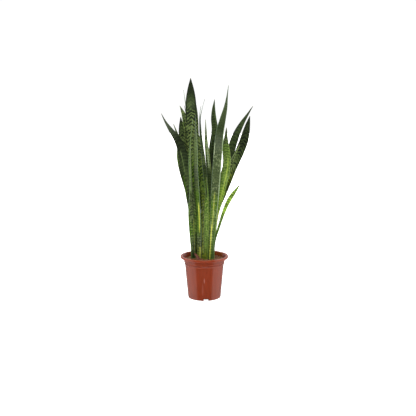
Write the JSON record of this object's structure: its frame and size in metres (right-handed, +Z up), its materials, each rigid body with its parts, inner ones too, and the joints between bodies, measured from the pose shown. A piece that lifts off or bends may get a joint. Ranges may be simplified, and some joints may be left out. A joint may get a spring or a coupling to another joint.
{
  "type": "potted snake plant",
  "caption": "Snake plant with tall upright sword-shaped leaves, growing in potting mix in a round red-brown plastic nursery pot that has a turned-down lip and drainage notches.",
  "frame": {"origin": "centre of the flat underside of the pot, on the axis of the pot and on the floor", "axes": "+Z up along the axis of the pot, -Y towards a viewer who looks at the front, +X to that viewer's right"},
  "size_m": [0.504, 0.3258, 1.222],
  "materials": {
    "pot": "satin moulded",
    "soil": "rough and matte",
    "leaf_dark": "waxy satin, dark green with faint bands",
    "leaf_banded": "waxy satin, dark green with lighter cross bands",
    "leaf_grey": "waxy satin, grey-green with pale cross bands",
    "leaf_bright": "waxy satin, yellow-green with dark cross bands",
    "sheath": "dry and matte",
    "rhizome": "matte"
  },
  "bodies": {
    "root": {"pot": "pot", "soil": "soil", "leaf_01": "leaf_grey", "leaf_02": "leaf_dark", "leaf_03": "leaf_bright", "leaf_04": "leaf_banded", "leaf_05": "leaf_banded", "leaf_06": "leaf_grey", "leaf_07": "leaf_banded", "leaf_08": "leaf_bright", "leaf_09": "leaf_dark", "leaf_10": "leaf_grey", "leaf_11": "leaf_grey", "leaf_12": "leaf_grey", "leaf_13": "leaf_bright", "leaf_14": "leaf_bright", "leaf_15": "leaf_dark", "leaf_16": "leaf_grey", "leaf_17": "leaf_bright", "leaf_18": "leaf_dark", "leaf_19": "leaf_banded", "leaf_20": "leaf_bright", "leaf_21": "leaf_bright", "leaf_22": "leaf_grey", "leaf_23": "leaf_banded", "leaf_24": "leaf_dark", "leaf_25": "leaf_grey", "leaf_26": "leaf_banded", "leaf_27": "leaf_bright", "sheath_1": "sheath", "rhizome_1": "rhizome", "rhizome_2": "rhizome", "rhizome_3": "rhizome", "rhizome_4": "rhizome"}
  },
  "joints": []
}
